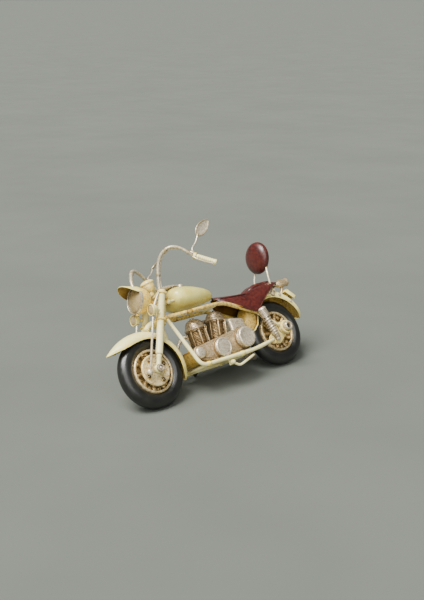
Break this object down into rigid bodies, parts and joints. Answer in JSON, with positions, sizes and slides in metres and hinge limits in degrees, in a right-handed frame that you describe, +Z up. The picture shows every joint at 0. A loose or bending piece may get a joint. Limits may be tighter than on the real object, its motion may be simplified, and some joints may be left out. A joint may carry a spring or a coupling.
{
  "type": "model motorcycle",
  "caption": "Tin model of a cruiser motorcycle in cream enamel with burgundy seat and backrest, freely turning wheels and steering, tipped onto its right foot peg.",
  "frame": {"origin": "on the ground, below the middle of the model's box, as it stands tipped over on its right foot peg", "axes": "-X towards the front wheel along the line of the two tyres, -Y towards the bike's left side, +Z up from the ground; the bike itself is tipped 33 degrees to its right"},
  "size_m": [0.1594, 0.0882, 0.1002],
  "materials": {
    "cream_paint": "satin cream enamel, browned in the recesses",
    "tank_paint": "smooth pale green-cream enamel",
    "ochre_paint": "ochre patina on pressed sheet",
    "engine_metal": "champagne metal with a brown wash",
    "silver_metal": "pale silver paint, slightly worn",
    "seat_skin": "satin burgundy leather look",
    "tyre_rubber": "satin black",
    "lens_silver": "silvered lens face",
    "tail_red": "dull red lens",
    "peg_dark": "matt dark rubber"
  },
  "bodies": {
    "frame": {"steering_head": "cream_paint", "top_rails": "cream_paint", "cradle": "cream_paint", "cross_bars": "cream_paint", "floor_plate": "ochre_paint", "crankcase": "engine_metal", "cylinders": "engine_metal", "cylinder_heads": "engine_metal", "pushrod_tubes": "engine_metal", "intake_pipe": "engine_metal", "primary_cover": "engine_metal", "primary_caps": "silver_metal", "oil_tank": "silver_metal", "exhaust_pipe": "engine_metal", "silencer": "silver_metal", "fuel_tank": "tank_paint", "tank_console": "silver_metal", "filler_cap": "silver_metal", "tank_knobs": "cream_paint", "seat_pan": "cream_paint", "seat": "seat_skin", "rear_mudguard": "cream_paint", "guard_bolts": "silver_metal", "plate_bracket": "cream_paint", "tail_lamp": "silver_metal", "tail_lens": "tail_red", "sissy_bar": "silver_metal", "backrest": "seat_skin", "shock_covers": "silver_metal", "shock_springs": "silver_metal", "axle_plates": "cream_paint", "rear_stays": "cream_paint", "rear_axle": "silver_metal", "axle_flanges": "cream_paint", "axle_sockets": "silver_metal", "foot_peg": "peg_dark", "stand_bracket": "cream_paint"},
    "steering": {"steering_stem": "silver_metal", "fork_yokes": "cream_paint", "fork_tubes": "cream_paint", "fork_ends": "silver_metal", "front_mudguard": "cream_paint", "guard_bracket": "cream_paint", "headlight_shell": "cream_paint", "headlight_lens": "lens_silver", "headlight_visor": "cream_paint", "lamp_shells": "cream_paint", "lamp_lenses": "lens_silver", "gauge": "cream_paint", "handlebar": "silver_metal", "grips": "cream_paint", "mirrors": "silver_metal", "front_axle": "silver_metal", "brake_plates": "cream_paint", "brake_rods": "silver_metal"},
    "front_wheel": {"front_wheel": "engine_metal", "front_tyre": "tyre_rubber"},
    "rear_wheel": {"rear_wheel": "engine_metal", "rear_tyre": "tyre_rubber"},
    "stand": {"side_stand": "silver_metal"}
  },
  "joints": [
    {"name": "steer", "type": "hinge", "parent": "frame", "child": "steering", "pos_m": [-0.03222, -0.01018, 0.04356], "axis": [0.4571, 0.4844, 0.7459], "range_deg": [-20, 20]},
    {"name": "front_wheel_spin", "type": "hinge", "parent": "steering", "child": "front_wheel", "pos_m": [-0.0532, -0.02598, 0.01922], "axis": [0, -0.8387, 0.5446], "continuous": true},
    {"name": "rear_wheel_spin", "type": "hinge", "parent": "frame", "child": "rear_wheel", "pos_m": [0.0513, -0.02598, 0.01922], "axis": [0, -0.8387, 0.5446], "continuous": true},
    {"name": "stand_swing", "type": "hinge", "parent": "frame", "child": "stand", "pos_m": [-0.0007, -0.04176, 0.01696], "axis": [0, 0.8387, -0.5446], "range_deg": [0, 80]}
  ]
}
